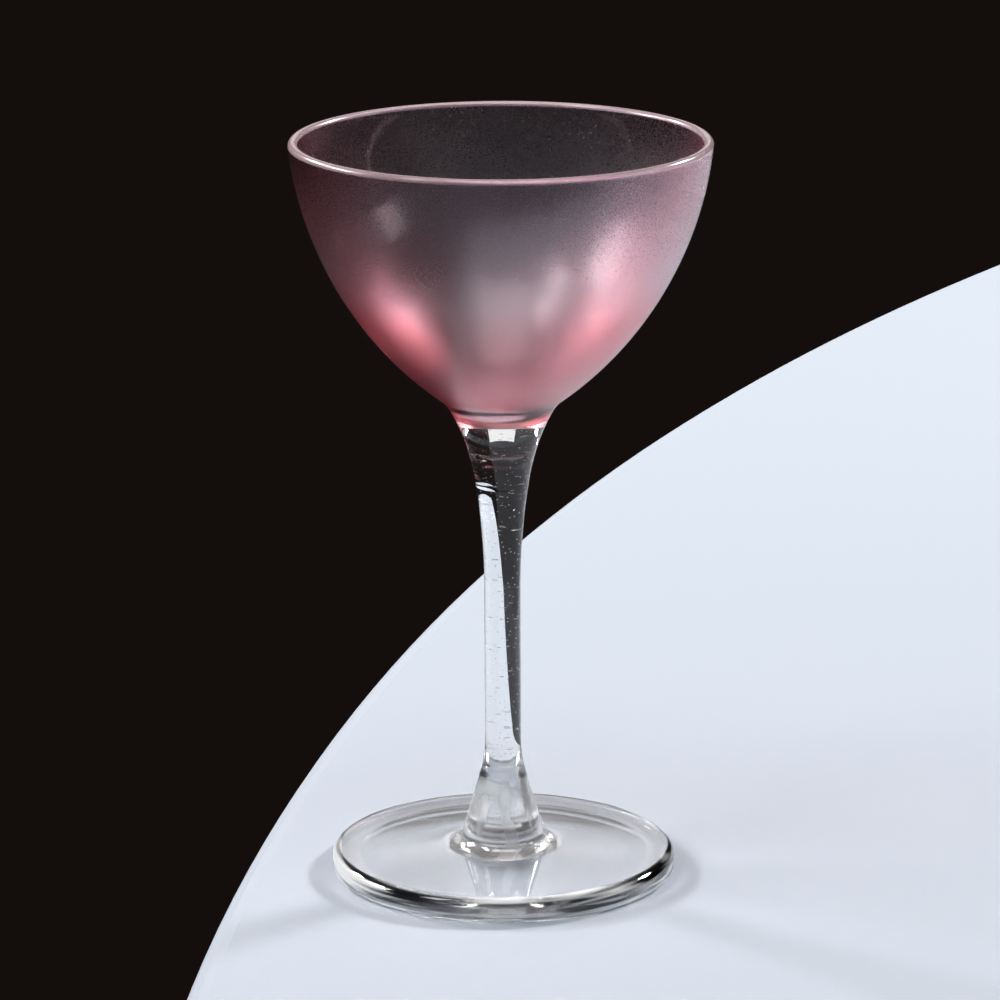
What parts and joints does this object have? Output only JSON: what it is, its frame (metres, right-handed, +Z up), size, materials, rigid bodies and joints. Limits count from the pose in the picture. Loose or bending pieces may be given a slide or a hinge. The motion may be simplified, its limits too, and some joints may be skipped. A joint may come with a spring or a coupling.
{
  "type": "martini glass",
  "caption": "Stemmed cocktail glass with a round-sided frosted bowl, a slender solid stem and a flat round foot with a conical boss.",
  "frame": {"origin": "on the glass's axis, in the plane the foot stands on", "axes": "+Z up along the axis of the glass towards the rim; X and Y are alike, because the glass is round"},
  "size_m": [0.0916, 0.0916, 0.165],
  "materials": {
    "frosted_rose_glass": "frosted rose outside, clear at the neck, fire-polished lip and inside",
    "clear_glass": "clear, fire-polished, finely seeded"
  },
  "bodies": {
    "root": {"bowl": "frosted_rose_glass", "stem": "clear_glass", "foot": "clear_glass"}
  },
  "joints": []
}
